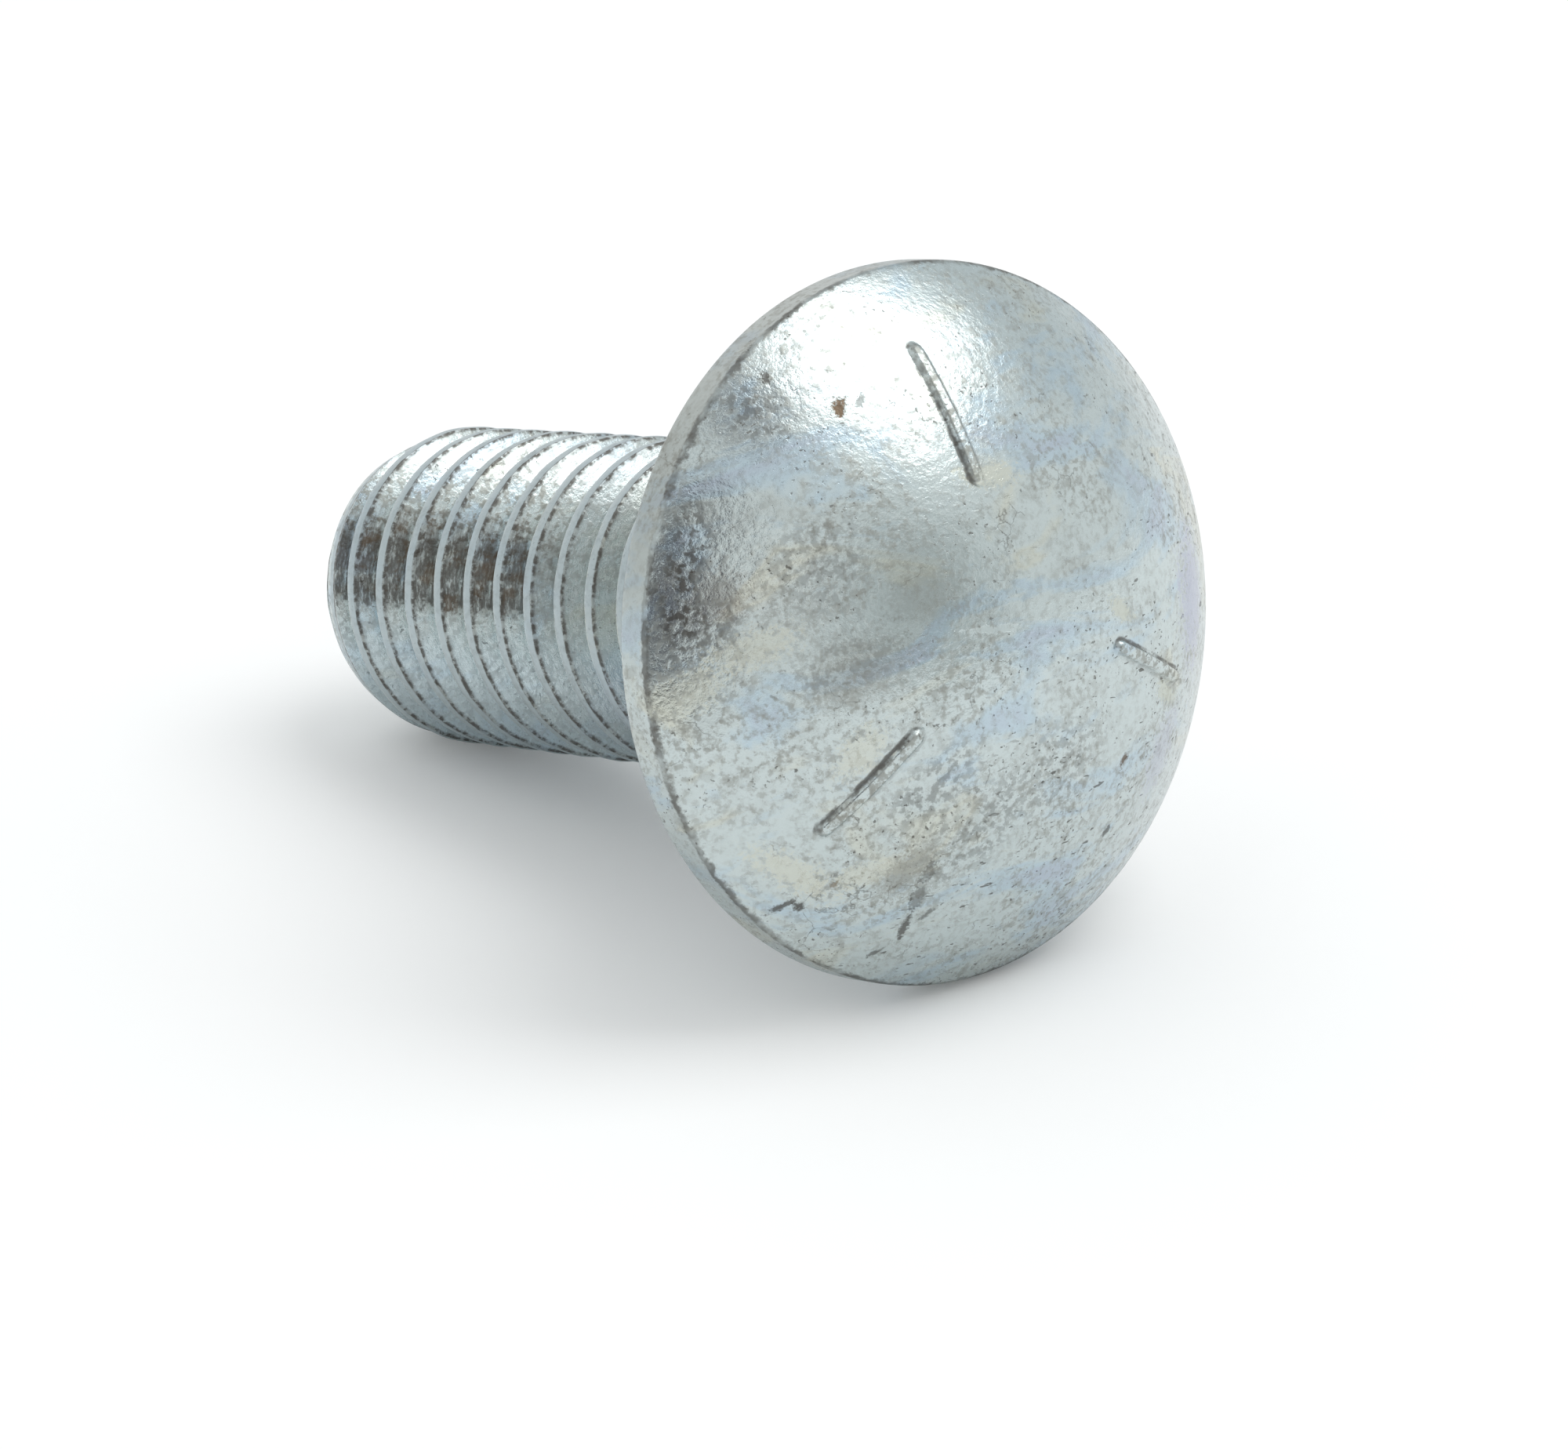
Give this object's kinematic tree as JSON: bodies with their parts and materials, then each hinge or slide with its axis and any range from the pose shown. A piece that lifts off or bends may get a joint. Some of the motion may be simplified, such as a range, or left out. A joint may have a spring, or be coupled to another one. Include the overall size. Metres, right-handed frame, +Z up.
{
  "type": "carriage bolt",
  "caption": "Short round-head carriage bolt with a low domed head, a square anti-turn neck and a coarse right-hand rolled thread, zinc plated, for clamping timber or plate under a nut.",
  "frame": {"origin": "bottom centre of the part's box, on the surface that the bolt lies on, at rest on the rim of its head and the shoulder of its point", "axes": "+X along the length of the lying bolt towards the head, +Z up, +Y sideways; the bolt's axis rises 13.94 degrees from +X towards +Z"},
  "size_m": [0.0386, 0.0262, 0.0257],
  "materials": {
    "zinc_plate": "bright zinc plate with a clear blue passivate, faintly iridescent and scuffed from handling"
  },
  "bodies": {
    "root": {"carriage_bolt": "zinc_plate"}
  },
  "joints": []
}
